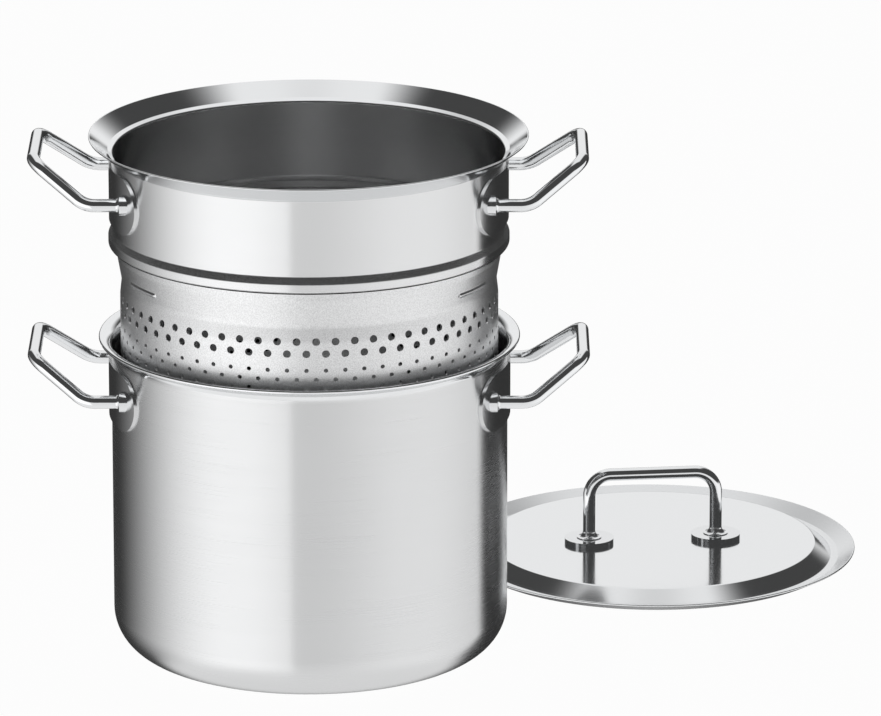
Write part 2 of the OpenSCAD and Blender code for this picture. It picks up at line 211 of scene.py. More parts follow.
class FinishSettings(bpy.types.PropertyGroup):
    """Colours and roughness of the steels."""

    wall: colour("Wall", "Colour of the pot's brushed wall", 0.78, 0.785, 0.79)
    wall_rough: share("Wall roughness", "Roughness of the pot's brushed wall", 0.25)
    collar: colour("Collar", "Colour of the insert's brushed collar", 0.8, 0.805, 0.81)
    collar_rough: share("Collar roughness", "Roughness of the insert's brushed collar", 0.22)
    # The inner skin's colour is darker than the outer steel's as painted shade for the inside of
    # the pot.
    inside: colour("Inside", "Colour of the pot's inner skin", 0.36, 0.365, 0.37)
    inside_rough: share("Inside roughness", "Roughness of the pot's inner skin", 0.32)
    basket: colour("Basket", "Colour of the matt basket", 0.92, 0.925, 0.93)
    basket_rough: share("Basket roughness", "Roughness of the matt basket", 0.34)
    polished: colour("Polished", "Colour of the rods and lips", 0.86, 0.87, 0.88)
    polished_rough: share("Rod roughness", "Roughness of the rods", 0.05)
    lip_rough: share("Lip roughness", "Roughness of the polished lips", 0.07)
    lid: colour("Lid", "Colour of the lid", 0.84, 0.85, 0.86)
    lid_lines: colour("Lid lines", "Colour of the brush lines on the lid's rim", 0.76, 0.77, 0.78)
    lid_rough: share("Lid roughness", "Roughness of the lid's flat middle", 0.09)
    rim_rough: share("Rim roughness", "Roughness of the lid's brushed rim", 0.24)
    plate: colour("Plate", "Colour of the plates behind the handles", 0.7, 0.705, 0.71)
    plate_rough: share("Plate roughness", "Roughness of the plates", 0.16)
    washer: colour("Washer", "Colour of the lid's washers", 0.82, 0.83, 0.84)
    washer_rough: share("Washer roughness", "Roughness of the lid's washers", 0.08)
    weld: colour("Weld", "Colour of the weld beads", 0.84, 0.85, 0.86)
    weld_rough: share("Weld roughness", "Roughness of the weld beads", 0.1)
    core: colour("Core", "Colour of the aluminium core", 0.8, 0.81, 0.82)
    core_rough: share("Core roughness", "Roughness of the aluminium core", 0.4)


class StudioSettings(bpy.types.PropertyGroup):
    """Camera and light of the picture."""

    camera_x: length("Camera X", "Place of the camera along X", 81)
    camera_back: length("Camera back", "Distance of the camera in front of the pot's axis", 4891)
    camera_up: length("Camera height", "Height of the camera above the floor", 1601)
    pitch: angle("Pitch", "How far the camera looks down", 16.133)
    lens: share("Lens", "Focal length in millimetres for a 36 mm wide sensor", 336.2, 1000.0)
    light: share("Light", "Strength of the studio's light surfaces", 1.0, 10.0)
    floor: share("Floor", "Share of the floor's white that takes no shadow", 0.97)


class Wire:
    """A shader socket that takes part in arithmetic."""

    def __init__(self, graph, socket):
        self.graph = graph
        self.socket = socket

    def math(self, operation, *others):
        return self.graph.math(operation, self, *others)

    def __add__(self, other):
        return self.math("ADD", other)

    def __radd__(self, other):
        return self.graph.math("ADD", other, self)

    def __sub__(self, other):
        return self.math("SUBTRACT", other)

    def __rsub__(self, other):
        return self.graph.math("SUBTRACT", other, self)

    def __mul__(self, other):
        return self.math("MULTIPLY", other)

    def __rmul__(self, other):
        return self.graph.math("MULTIPLY", other, self)

    def __neg__(self):
        return self.math("MULTIPLY", -1.0)

    def parts(self):
        """The three parts of a vector."""
        x = self.graph.add("ShaderNodeSeparateXYZ", {}, {0: self})
        return [Wire(self.graph, socket) for socket in x.socket.node.outputs]

    def step(self, start, end):
        """0 up to start, 1 from end on, and smooth in between."""
        values = {"Value": self, "From Min": start, "From Max": end}
        return self.graph.add("ShaderNodeMapRange", {"interpolation_type": "SMOOTHSTEP"}, values)

    def band(self, low, high, soft):
        """1 between two values and 0 outside, with soft edges."""
        return self.step(low - soft, low + soft) * (1.0 - self.step(high - soft, high + soft))

    def between(self, first, second):
        """first where this is 0, second where it is 1."""
        return first * (1.0 - self) + second * self


class Graph:
    """A shader tree that is built one node at a time."""

    def __init__(self, tree):
        self.tree = tree
        tree.nodes.clear()

    def add(self, kind, settings, inputs, output=0):
        """Adds a node, sets it up, feeds its sockets, and returns one of its outputs.

        An input is named by its place or by its identifier, and an output too.
        """
        node = self.tree.nodes.new(kind)
        for name, value in settings.items():
            setattr(node, name, value)
        sockets = {socket.identifier: socket for socket in node.inputs}
        for name, value in inputs.items():
            socket = node.inputs[name] if isinstance(name, int) else sockets[name]
            if isinstance(value, Wire):
                self.tree.links.new(value.socket, socket)
            else:
                socket.default_value = value
        if not node.outputs:
            return None
        results = {socket.identifier: socket for socket in node.outputs}
        return Wire(self, node.outputs[output] if isinstance(output, int) else results[output])

    def math(self, operation, *values):
        return self.add("ShaderNodeMath", {"operation": operation}, dict(enumerate(values)))

    def mix(self, factor, first, second):
        """A colour between two colours."""
        inputs = {"Factor_Float": factor, "A_Color": (*first, 1.0), "B_Color": (*second, 1.0)}
        return self.add("ShaderNodeMix", {"data_type": "RGBA"}, inputs, "Result_Color")

    def place(self):
        """The point's place in its own piece."""
        return self.add("ShaderNodeTexCoord", {}, {}, "Object")

    def vector(self, x, y, z):
        return self.add("ShaderNodeCombineXYZ", {}, {0: x, 1: y, 2: z})

    def noise(self, vector, scale, detail):
        """Noise from 0 to 1, with scale as its lumps to a metre and detail as finer layers."""
        inputs = {"Vector": vector, "Scale": scale, "Detail": detail}
        return self.add("ShaderNodeTexNoise", {}, inputs)

    def metal(self, shade, rough, normal=None, aniso=0.0):
        """Bare metal. aniso blurs reflections across the brush lines and not along them."""
        inputs = {
            "Base Color": shade if isinstance(shade, Wire) else (*shade, 1.0),
            "Metallic": 1.0,
            "Roughness": rough,
            "Anisotropic": aniso,
            "Anisotropic Rotation": ACROSS,
        }
        if normal:
            inputs["Normal"] = normal
        return self.add("ShaderNodeBsdfPrincipled", {}, inputs)

    def bump(self, height, depth):
        inputs = {"Strength": 1.0, "Distance": depth, "Height": height}
        return self.add("ShaderNodeBump", {}, inputs)

    def blend(self, factor, first, second):
        """One shader where the factor is 0 and another where it is 1."""
        return self.add("ShaderNodeMixShader", {}, {0: factor, 1: first, 2: second})

    def surface(self, shader):
        self.add("ShaderNodeOutputMaterial", {}, {"Surface": shader})


def new_material(name):
    material = bpy.data.materials.new(name)
    material.use_nodes = True
    return material, Graph(material.node_tree)


def darker(shade, part):
    return tuple(part * value for value in shade)


def satin_steel(name, shade, rough, aniso, lip):
    """Steel brushed round its axis. The polish of its lip starts at a height."""
    material, graph = new_material(name)
    place = graph.place()
    x, y, z = place.parts()
    stretched = graph.vector(x * LINES_ALONG, y * LINES_ALONG, z * WALL_LINES)
    lines = graph.noise(stretched, 1.0, 3.0)
    clouds = graph.noise(place, 16.0, 2.0)
    shades = graph.mix(lines * 0.7 + clouds * 0.3, darker(shade, 0.9), shade)
    roughness = rough + (lines - CENTRED) * 0.12 + (clouds - CENTRED) * 0.05
    satin = graph.metal(shades, roughness, graph.bump(lines, 0.01 * MM), aniso)
    finish = bpy.context.scene.pasta_pot_finish
    polished = graph.metal(finish.polished, finish.lip_rough + clouds * 0.03)
    graph.surface(graph.blend(z.step(lip, lip + POLISH_EDGE), satin, polished))
    return material


def polished_steel(name, shade, rough):
    """Mirror-polished steel with faint wear."""
    material, graph = new_material(name)
    place = graph.place()
    clouds = graph.noise(place, 40.0, 3.0)
    grain = graph.noise(place, 900.0, 1.0)
    shades = graph.mix(clouds, darker(shade, 0.94), shade)
    graph.surface(graph.metal(shades, rough + clouds * 0.03 + grain * 0.02))
    return material


def matt_steel(name, shade, rough):
    """Metal with a fine even grain, as on the basket."""
    material, graph = new_material(name)
    place = graph.place()
    grain = graph.noise(place, 1500.0, 2.0)
    clouds = graph.noise(place, 22.0, 2.0)
    spread = grain.step(0.3, 0.7) * 0.7 + clouds * 0.3
    shades = graph.mix(spread, darker(shade, 0.68), shade)
    roughness = rough + (grain - CENTRED) * 0.15
    graph.surface(graph.metal(shades, roughness, graph.bump(grain, 0.03 * MM)))
    return material


def lid_steel(name, lid, finish):
    """Polished flat middle, and a slope, channel and rim brushed round the lid's own axis."""
    material, graph = new_material(name)
    x, y, z = graph.place().parts()
    x = x - lid.x
    y = y - lid.y
    radius = (x * x + y * y).math("SQRT")
    stretched = graph.vector(radius * RIM_LINES, x * LINES_ALONG, y * LINES_ALONG)
    lines = graph.noise(stretched, 1.0, 2.0)
    clouds = graph.noise(graph.vector(x, y, z), 18.0, 2.0)
    shades = graph.mix(lines, finish.lid_lines, finish.lid)
    roughness = finish.rim_rough + (lines - CENTRED) * 0.1
    brushed = graph.metal(shades, roughness, graph.bump(lines, 0.006 * MM))
    polished = graph.metal(finish.lid, finish.lid_rough + clouds * 0.04)
    edge = lid.channel_in_d / 2
    rim = radius.step(edge - POLISH_EDGE, edge + POLISH_EDGE)
    graph.surface(graph.blend(rim, polished, brushed))
    return material


class Builder:
    """Collects points with their normals, and faces, for one mesh."""

    def __init__(self):
        self.points = []
        self.normals = []
        self.faces = []

    def point(self, place, normal):
        self.points.append(Vector(place))
        self.normals.append(Vector(normal).normalized())
        return len(self.points) - 1

    def face(self, *corners):
        """Adds a face, wound so that it faces the way its normals point."""
        kept = list(dict.fromkeys(corners))
        if len(kept) < 3:
            return
        a, b, c = (self.points[i] for i in kept[:3])
        across = (b - a).cross(self.points[kept[-1]] - a) + (b - a).cross(c - a)
        if across.dot(self.normals[kept[0]] + self.normals[kept[1]]) < 0:
            kept.reverse()
        self.faces.append(kept)

    def piece(self, name, body, material, replaces=()):
        mesh = bpy.data.meshes.new(name)
        mesh.from_pydata(self.points, [], self.faces)
        mesh.shade_smooth()
        mesh.normals_split_custom_set_from_vertices(self.normals)
        mesh.materials.append(material)
        made = bpy.data.objects.new(name, mesh)
        bpy.context.scene.collection.objects.link(made)
        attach(made, body)
        if replaces:
            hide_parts(*replaces)
        return made

    def lathe(self, profile, steps, closed=False, lift=0.0, place=(0.0, 0.0)):
        """Turns a profile of (radius, height, normal out, normal up) round an axis."""
        rings = []
        for radius, height, out, up in profile:
            if radius < TINY:
                at = (place[0], place[1], height + lift)
                rings.append([self.point(at, (0, 0, 1 if up > 0 else -1))] * steps)
                continue
            ring = []
            for i in range(steps):
                turn = 2 * math.pi * i / steps
                c = math.cos(turn)
                s = math.sin(turn)
                at = (place[0] + radius * c, place[1] + radius * s, height + lift)
                ring.append(self.point(at, (out * c, out * s, up)))
            rings.append(ring)
        pairs = list(zip(profile, profile[1:], rings, rings[1:]))
        if closed:
            pairs.append((profile[-1], profile[0], rings[-1], rings[0]))
        for first, second, low, high in pairs:
            if math.dist(first[:2], second[:2]) < TINY:
                continue
            for i in range(steps):
                k = (i + 1) % steps
                self.face(low[i], low[k], high[k], high[i])


def arc(centre, radius, start, end, steps, out=1.0):
    """Points along an arc, with normals away from its centre, or towards it if out is -1."""
    made = []
    for i in range(steps + 1):
        at = start + (end - start) * i / steps
        c = math.cos(at)
        s = math.sin(at)
        made.append((centre[0] + radius * c, centre[1] + radius * s, out * c, out * s))
    return made


def heading(a, b):
    return math.atan2(b[1] - a[1], b[0] - a[0])


def bent_side(path, radii, off, steps):
    """One side of a bent sheet, with an arc at each corner of its path."""
    face = 1.0 if off > 0 else -1.0
    made = []

    def end_point(point, at):
        left = (-math.sin(at), math.cos(at))
        return (point[0] + off * left[0], point[1] + off * left[1], face * left[0], face * left[1])

    made.append(end_point(path[0], heading(path[0], path[1])))
    for before, corner, after, radius in zip(path, path[1:], path[2:], radii):
        start_at = heading(before, corner)
        turn = math.remainder(heading(corner, after) - start_at, 2 * math.pi)
        hand = math.copysign(1.0, turn)
        back = radius * math.tan(abs(turn) / 2)
        start = (corner[0] - back * math.cos(start_at), corner[1] - back * math.sin(start_at))
        first = start_at - hand * math.pi / 2
        centre = (start[0] - radius * math.cos(first), start[1] - radius * math.sin(first))
        made += arc(centre, radius - hand * off, first, first + turn, steps, -face * hand)
    made.append(end_point(path[-1], heading(path[-2], path[-1])))
    return made


def bent_sheet(path, radii, thickness, steps):
    """The closed outline of a bent sheet with a round end."""
    end = heading(path[-2], path[-1])
    right = bent_side(path, radii, -thickness / 2, steps)
    left = bent_side(path, radii, thickness / 2, steps)
    nose = arc(path[-1], thickness / 2, end - math.pi / 2, end + math.pi / 2, steps)
    left.reverse()
    outline = right + nose + left
    if path[0][0] > TINY:
        start = heading(path[0], path[1])
        back = (-math.cos(start), -math.sin(start))
        outline.append((*left[-1][:2], *back))
        outline.append((*right[0][:2], *back))
    return outline


def rod_stations(path, radii, steps):
    """Places and directions along a path with a bend at each corner."""
    points = [Vector(p) for p in path]
    dirs = [(b - a).normalized() for a, b in zip(points, points[1:])]
    made = [(points[0], dirs[0])]
    for corner, u, v, radius in zip(points[1:], dirs, dirs[1:], radii):
        turn = u.angle(v)
        inward = (v - v.dot(u) * u).normalized()
        centre = corner - u * radius * math.tan(turn / 2) + inward * radius
        for i in range(steps + 1):
            at = turn * i / steps
            place = centre + radius * (math.sin(at) * u - math.cos(at) * inward)
            made.append((place, math.cos(at) * u + math.sin(at) * inward))
    made.append((points[-1], dirs[-1]))
    return made


def sweep(builder, stations, radius, sides, fix_end=None):
    """A round rod along stations. fix_end moves the points of both end rings."""
    upright = abs(stations[0][1].z) > 0.9
    side = Vector((1, 0, 0)) if upright else Vector((0, 0, 1))
    rings = []
    for i, (place, along) in enumerate(stations):
        side = (side - side.dot(along) * along).normalized()
        other = along.cross(side)
        ring = []
        for k in range(sides):
            at = 2 * math.pi * k / sides
            out = math.cos(at) * side + math.sin(at) * other
            point = place + radius * out
            if fix_end and i in (0, len(stations) - 1):
                point = fix_end(point)
            ring.append(builder.point(point, out))
        rings.append(ring)
    for low, high in zip(rings, rings[1:]):
        for k in range(sides):
            n = (k + 1) % sides
            builder.face(low[k], low[n], high[n], high[k])
    for end, way in ((0, -1), (-1, 1)):
        out = stations[end][1] * way
        builder.face(*[builder.point(builder.points[i], out) for i in rings[end]])


def side_rod(builder, side, wall, z, rod, detail):
    """The rod of one side handle, with its feet on the plate round a wall."""
    face = wall + rod.plate
    foot = rod.foot_gap / 2
    grip = rod.grip_w / 2
    start = math.sqrt(face * face - foot * foot)
    path = [
        (start, -foot, z),
        (wall + rod.bend_reach, -foot, z),
        (wall + rod.reach, -grip, z + rod.rise),
        (wall + rod.reach, grip, z + rod.rise),
        (wall + rod.bend_reach, foot, z),
        (start, foot, z),
    ]
    path = [(side * x, y, up) for x, y, up in path]
    radii = [rod.foot_bend, rod.grip_bend, rod.grip_bend, rod.foot_bend]

    def on_plate(p):
        return Vector((side * math.sqrt(face * face - p.y * p.y), p.y, p.z))

    stations = rod_stations(path, radii, detail.bend_steps)
    sweep(builder, stations, rod.diameter / 2, detail.rod_sides, on_plate)


def wall_thickness(pot):
    return pot.skin * 2 + pot.core


def lip_flare(pot):
    """Centre of the flare that makes the pot's lip, as (radius, height)."""
    wall = wall_thickness(pot)
    middle = pot.lip_round + wall / 2
    up = pot.height - middle * math.sin(pot.lip_turn) - wall / 2
    return pot.inner_d / 2 + wall + pot.lip_round, up


def pot_face(pot, depth, lip_end, steps, way):
    """One face of the clad pot at a depth from its outer face. way 1 faces outwards."""
    flare = lip_flare(pot)
    base = (flare[0] - pot.lip_round - pot.base_round, pot.base_round)
    made = [(0.0, depth, 0.0, -way)]
    made += arc(base, pot.base_round - depth, -math.pi / 2, 0.0, steps, way)
    made += arc(flare, pot.lip_round + depth, math.pi, lip_end, steps, -way)
    return made


class PieceOperator:
    """What the operators share."""

    bl_options = {"REGISTER", "UNDO"}

    @property
    def steps(self):
        return bpy.context.scene.pasta_pot_detail.arc_steps

    @property
    def round_steps(self):
        return bpy.context.scene.pasta_pot_detail.round_steps


class PASTAPOT_OT_shell(PieceOperator, bpy.types.Operator):
    """Build the pot's outer and inner skins"""

    bl_idname = "pasta_pot.shell"
    bl_label = "Pot Shell"

    def execute(self, context):
        pot = context.scene.pasta_pot
        finish = context.scene.pasta_pot_finish
        steps = self.steps
        wall = wall_thickness(pot)
        flare = lip_flare(pot)
        lip_end = math.pi - pot.lip_turn
        seal_end = lip_end + pot.lip_seal
        middle = pot.lip_round + wall / 2
        nose = (flare[0] + middle * math.cos(lip_end), flare[1] + middle * math.sin(lip_end))
        outline = pot_face(pot, 0.0, lip_end, steps, 1)
        outline += arc(nose, wall / 2, lip_end - math.pi, lip_end, steps)
        outline += arc(flare, pot.lip_round + wall - pot.skin, lip_end, seal_end, steps)
        outline += reversed(pot_face(pot, pot.skin, seal_end, steps, -1))
        lip = flare[1] + POLISH_EDGE / 2
        steel = satin_steel("satin_wall", finish.wall, finish.wall_rough, WALL_BRUSH, lip)
        builder = Builder()
        builder.lathe(outline, self.round_steps)
        builder.piece("pot_outside", "pot", steel, ["pot_outer_skin"])
        outline = pot_face(pot, wall - pot.skin, lip_end, steps, 1)
        outline += reversed(pot_face(pot, wall, lip_end, steps, -1))
        # The inner skin's darker colour is painted shade for the inside of the pot.
        steel = satin_steel("inside_painted_shade", finish.inside, finish.inside_rough, INSIDE_BRUSH, lip)
        builder = Builder()
        builder.lathe(outline, self.round_steps)
        builder.piece("pot_inside", "pot", steel, ["pot_inner_skin"])
        return {"FINISHED"}


class PASTAPOT_OT_side_handles(PieceOperator, bpy.types.Operator):
    """Build the rods of the four side handles"""

    bl_idname = "pasta_pot.side_handles"
    bl_label = "Side Handles"

    def execute(self, context):
        pot = context.scene.pasta_pot
        insert = context.scene.pasta_pot_insert
        rod = context.scene.pasta_pot_rods
        detail = context.scene.pasta_pot_detail
        finish = context.scene.pasta_pot_finish
        walls = {
            "pot": (pot.inner_d / 2 + wall_thickness(pot), pot.height - pot.foot_drop),
            "insert": (insert.wall_d / 2, insert.seat_z + insert.height - insert.foot_drop),
        }
        steel = polished_steel("polished_rods", finish.polished, finish.polished_rough)
        for body, (wall, z) in walls.items():
            for name, side in SIDES.items():
                builder = Builder()
                side_rod(builder, side, wall, z, rod, detail)
                replaced = [f"{body}_handle_{name}"]
                builder.piece(f"{body}_rod_{name}", body, steel, replaced)
        return {"FINISHED"}


class PASTAPOT_OT_collar(PieceOperator, bpy.types.Operator):
    """Build the collar of the insert"""

    bl_idname = "pasta_pot.collar"
    bl_label = "Insert Collar"

    def execute(self, context):
        s = context.scene.pasta_pot_insert
        finish = context.scene.pasta_pot_finish
        half = s.sheet / 2
        wall = s.wall_d / 2 - half
        bead = s.bead_d / 2 - half
        bead_top = half + s.bead_h
        ledge = s.height - s.flare_h - s.ledge_rise
        path = [
            (s.hem_d / 2 - s.mesh_t / 2, half),
            (bead, half),
            (bead, bead_top),
            (wall, bead_top + s.bead_slope),
            (wall, ledge),
            (wall + s.ledge_w, ledge + s.ledge_rise),
            (s.lip_d / 2 - half, s.height - half),
        ]
        builder = Builder()
        outline = bent_sheet(path, COLLAR_BENDS, s.sheet, self.steps)
        builder.lathe(outline, self.round_steps, True, s.seat_z)
        lip = s.seat_z + ledge - POLISH_EDGE / 2
        steel = satin_steel("satin_collar", finish.collar, finish.collar_rough, WALL_BRUSH, lip)
        builder.piece("insert_collar_wall", "insert", steel, ["insert_collar"])
        return {"FINISHED"}


def at_height(first, second, height):
    """The point of a profile between two of its points, at a height."""
    part = (height - first[1]) / (second[1] - first[1])
    return tuple(a + (b - a) * part for a, b in zip(first, second))


def clipped(profile, low, high):
    """The stretch of a profile between two heights, with a point at each of them."""
    made = []
    for first, second in zip(profile, profile[1:]):
        for edge in sorted((low, high), reverse=first[1] > second[1]):
            if min(first[1], second[1]) < edge < max(first[1], second[1]):
                made.append(at_height(first, second, edge))
        if low <= second[1] <= high:
            made.append(second)
    if low <= profile[0][1] <= high:
        made.insert(0, profile[0])
    return made


def wall_at(profile, height):
    """Radius and normal of a wall's profile at a height."""
    for first, second in zip(profile, profile[1:]):
        low = min(first[1], second[1])
        high = max(first[1], second[1])
        if low <= height <= high and high > low:
            return at_height(first, second, height)
    raise ValueError(f"the wall has no height {height}")


def hole_cell(builder, places, centre, half, hole, sides, steps):
    """A cell of sheet round one hole: its faces on both sides, and the hole's own wall.

    places holds a function for each side of the sheet, from (across, up) to a point and
    its normal. The cell's upright edges have as many steps as sides, and the others steps.
    """
    wide, tall = half
    border = [(-wide + 2 * wide * i / steps, -tall) for i in range(steps)]
    border += [(wide, -tall + 2 * tall * i / sides) for i in range(sides)]
    border += [(-x, -y) for x, y in border]
    scales = [hole / 2 / math.hypot(*p) for p in border]
    rim = [(x * scale, y * scale) for (x, y), scale in zip(border, scales)]

    def ring(place, points):
        return [builder.point(*place(centre[0] + x, centre[1] + y)) for x, y in points]

    def join(first, second):
        for i in range(len(border)):
            k = (i + 1) % len(border)
            builder.face(first[i], first[k], second[k], second[i])

    walls = []
    for place in places:
        inside = ring(place, rim)
        join(ring(place, border), inside)
        middle = Vector(place(*centre)[0])
        points = [builder.points[i] for i in inside]
        walls.append([builder.point(p, middle - p) for p in points])
    join(*walls)


class Basket:
    """The shape of the perforated basket."""

    cell_sides = 4
    floor_cell_steps = 8
    floor_middle_steps = 48
    bump_steps = (48, 12)

    def __init__(self, sizes, arc_steps, round_steps):
        self.s = s = sizes
        self.round_steps = round_steps
        half = s.mesh_t / 2
        wall = s.basket_d / 2 - half
        waist = s.waist_d / 2 - half
        hem = s.hem_d / 2 - half
        floor_z = half - s.depth
        path = [
            (0.0, floor_z),
            (wall, floor_z),
            (wall, -s.waist_depth - s.waist_to_wall),
            (waist, -s.waist_depth),
            (hem, -s.hem_h),
            (hem, -half),
            (s.bead_d / 2 - s.sheet / 2 - FLANGE_INSET, -half),
        ]
        radii = [s.round, *BASKET_BENDS]
        self.outside = bent_side(path, radii, -half, arc_steps)
        self.inside = bent_side(path, radii, half, arc_steps)

    def rows(self):
        """Height, hole diameter, cell height and shift of each row, from the top."""
        s = self.s
        large = [(-s.large_depth - i * s.large_pitch, i / 2) for i in range(2)]
        made = [(z, s.large_hole, s.large_pitch, shift) for z, shift in large]
        top = large[-1][0] - s.small_gap
        for i in range(s.small_rows):
            made.append((top - i * s.small_pitch, s.small_hole, s.small_pitch, (i + 1) % 2 / 2))
        return made

    def sheet(self, builder):
        """The whole sheet: the rows, the stretches between and beside them, and the floor."""
        rows = self.rows()
        for row in rows:
            self.row(builder, *row)
        edges = [(z + tall / 2, z - tall / 2) for z, _, tall, _ in rows]
        self.stretch(builder, edges[0][0], 0.0)
        self.stretch(builder, edges[2][0], edges[1][1])
        self.corner(builder, edges[-1][1])
        self.floor(builder)

    def stretch(self, builder, low, high):
        """The unpierced sheet between two heights."""
        for side in (self.outside, self.inside):
            builder.lathe(clipped(side, low, high), self.round_steps, False, self.s.seat_z)

    def corner(self, builder, high):
        """The unpierced sheet from a height down to the floor's outermost ring of holes."""
        edge = (self.s.floor_rings + 0.5) * self.s.floor_pitch
        for side in (self.outside, self.inside):
            profile = [(edge, *side[0][1:])]
            profile += [p for p in clipped(side, -2 * self.s.depth, high) if p[0] > edge]
            builder.lathe(profile, self.round_steps, False, self.s.seat_z)

    def row(self, builder, height, hole, tall, shift):
        s = self.s
        step = 2 * math.pi / s.holes_round
        radius = s.basket_d / 2

        def on(side):
            def place(across, up):
                r, z, out, lift = wall_at(side, up)
                c, e = math.cos(across / radius), math.sin(across / radius)
                return (r * c, r * e, z + s.seat_z), (out * c, out * e, lift)

            return place

        places = [on(self.outside), on(self.inside)]
        half = (step * radius / 2, tall / 2)
        steps = self.round_steps // s.holes_round
        for i in range(s.holes_round):
            centre = ((i + shift) * step * radius, height)
            hole_cell(builder, places, centre, half, hole, self.cell_sides, steps)

    def floor(self, builder):
        """The floor's rings of holes, with six more holes in each ring than in the last."""
        s = self.s
        faces = [(self.outside[0][1] + s.seat_z, -1), (self.inside[0][1] + s.seat_z, 1)]

        def on(z, way, radius):
            def place(across, up):
                turn = across / radius
                r = radius + up
                return (r * math.cos(turn), r * math.sin(turn), z), (0, 0, way)

            return place

        for ring in range(1, s.floor_rings + 1):
            radius = ring * s.floor_pitch
            places = [on(*face, radius) for face in faces]
            width = 2 * math.pi * radius / (6 * ring)
            half = (width / 2, s.floor_pitch / 2)
            steps = (self.cell_sides, self.floor_cell_steps)
            for i in range(6 * ring):
                hole_cell(builder, places, (width * i, 0.0), half, s.small_hole, *steps)
        middle = s.floor_pitch / 2
        for face in faces:
            place = on(*face, middle)
            length_round = 2 * math.pi * middle / self.floor_middle_steps
            points = [place(length_round * i, 0.0) for i in range(self.floor_middle_steps)]
            builder.face(*[builder.point(*point) for point in points])

    def bumps(self, builder):
        """Four long bumps pressed out of the band above the holes."""
        turn = self.s.bump_turn
        for at in (turn, math.pi - turn, -turn, turn - math.pi):
            self.bump(builder, at)

    def bump(self, builder, turn):
        s = self.s
        long_steps, wide_steps = self.bump_steps
        flat = (s.bump_l - s.bump_w) / 2
        grid = []
        for i in range(long_steps + 1):
            u = -s.bump_l / 2 + s.bump_l * i / long_steps
            over = max(0.0, abs(u) - flat)
            reach = math.sqrt(max(0.0, s.bump_w**2 / 4 - over**2))
            line = []
            for k in range(wide_steps + 1):
                v = reach * (2 * k / wide_steps - 1)
                line.append(self.bump_point(builder, turn, u, v, over))
            grid.append(line)
        for first, second in zip(grid, grid[1:]):
            for k in range(wide_steps):
                builder.face(first[k], first[k + 1], second[k + 1], second[k])

    def bump_point(self, builder, turn, u, v, over):
        """A point of a bump, u along it and v across, and over past its straight part."""
        s = self.s
        part = min(1.0, math.hypot(over, v) / (s.bump_w / 2))
        rise = s.bump_h * (math.cos(math.pi * part) + 1) / 2
        slope = s.bump_h * math.pi / s.bump_w * math.sin(math.pi * part)
        r, z, out, lift = wall_at(self.outside, v - s.bump_depth)
        at = turn + u / (s.basket_d / 2)
        c, e = math.cos(at), math.sin(at)
        away = Vector((out * c, out * e, lift))
        along = Vector((-e, c, 0)) * math.copysign(over, u) + Vector((0, 0, v))
        if along.length > TINY:
            away += along.normalized() * slope
        return builder.point(((r + rise) * c, (r + rise) * e, z + s.seat_z), away)


class PASTAPOT_OT_basket(PieceOperator, bpy.types.Operator):
    """Build the perforated basket with its pressed bumps"""

    bl_idname = "pasta_pot.basket"
    bl_label = "Insert Basket"

    def execute(self, context):
        finish = context.scene.pasta_pot_finish
        basket = Basket(context.scene.pasta_pot_insert, self.steps, self.round_steps)
        steel = matt_steel("matt_basket", finish.basket, finish.basket_rough)
        builder = Builder()
        basket.sheet(builder)
        builder.piece("insert_basket_mesh", "insert", steel, ["insert_basket"])
        builder = Builder()
        basket.bumps(builder)
        builder.piece("insert_basket_bumps", "insert", steel)
        return {"FINISHED"}


class PASTAPOT_OT_lid(PieceOperator, bpy.types.Operator):
    """Build the lid's sheet and its handle"""

    bl_idname = "pasta_pot.lid"
    bl_label = "Lid"

    def execute(self, context):
        s = context.scene.pasta_pot_lid
        finish = context.scene.pasta_pot_finish
        half = s.sheet / 2
        path = [
            (0.0, half + s.plateau_rise),
            (s.plateau_d / 2, half + s.plateau_rise),
            (s.channel_in_d / 2, half),
            (s.channel_out_d / 2, half),
            (s.diameter / 2 - half, half + s.rim_rise),
        ]
        builder = Builder()
        outline = bent_sheet(path, LID_BENDS, s.sheet, self.steps)
        builder.lathe(outline, self.round_steps, False, 0.0, (s.x, s.y))
        steel = lid_steel("lid_sheet_steel", s, finish)
        builder.piece("lid_sheet", "lid", steel, ["lid_disc"])
        rod = context.scene.pasta_pot_rods
        detail = context.scene.pasta_pot_detail
        low = s.sheet + s.plateau_rise
        high = low + s.grip_h - rod.diameter / 2
        reach = s.grip_w / 2
        across = (reach * math.cos(s.turn), reach * math.sin(s.turn))
        left = (s.x - across[0], s.y - across[1])
        right = (s.x + across[0], s.y + across[1])
        path = [(*left, low), (*left, high), (*right, high), (*right, low)]
        stations = rod_stations(path, [s.grip_bend, s.grip_bend], detail.bend_steps)
        builder = Builder()
        sweep(builder, stations, rod.diameter / 2, detail.rod_sides)
        steel = polished_steel("polished_lid_rod", finish.polished, finish.polished_rough)
        builder.piece("lid_rod", "lid", steel, ["lid_handle"])
        return {"FINISHED"}


class PASTAPOT_OT_small_pieces(PieceOperator, bpy.types.Operator):
    """Give the plates, washers, weld beads and the pot's core their steel"""

    bl_idname = "pasta_pot.small_pieces"
    bl_label = "Plates, Washers and Welds"

    def execute(self, context):
        s = context.scene.pasta_pot_finish
        finishes = {
            "core": matt_steel("core_aluminium", s.core, s.core_rough),
            "plate": polished_steel("plate_steel", s.plate, s.plate_rough),
            "washer": polished_steel("washer_steel", s.washer, s.washer_rough),
            "weld": polished_steel("weld_steel", s.weld, s.weld_rough),
        }
        for name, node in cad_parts.items():
            kinds = [kind for kind in finishes if kind in name]
            if not kinds:
                continue
            node.data.materials.clear()
            node.data.materials.append(finishes[kinds[0]])
            node.data.shade_smooth()
            node.data.set_sharp_from_angle(angle=SHARP)
        return {"FINISHED"}


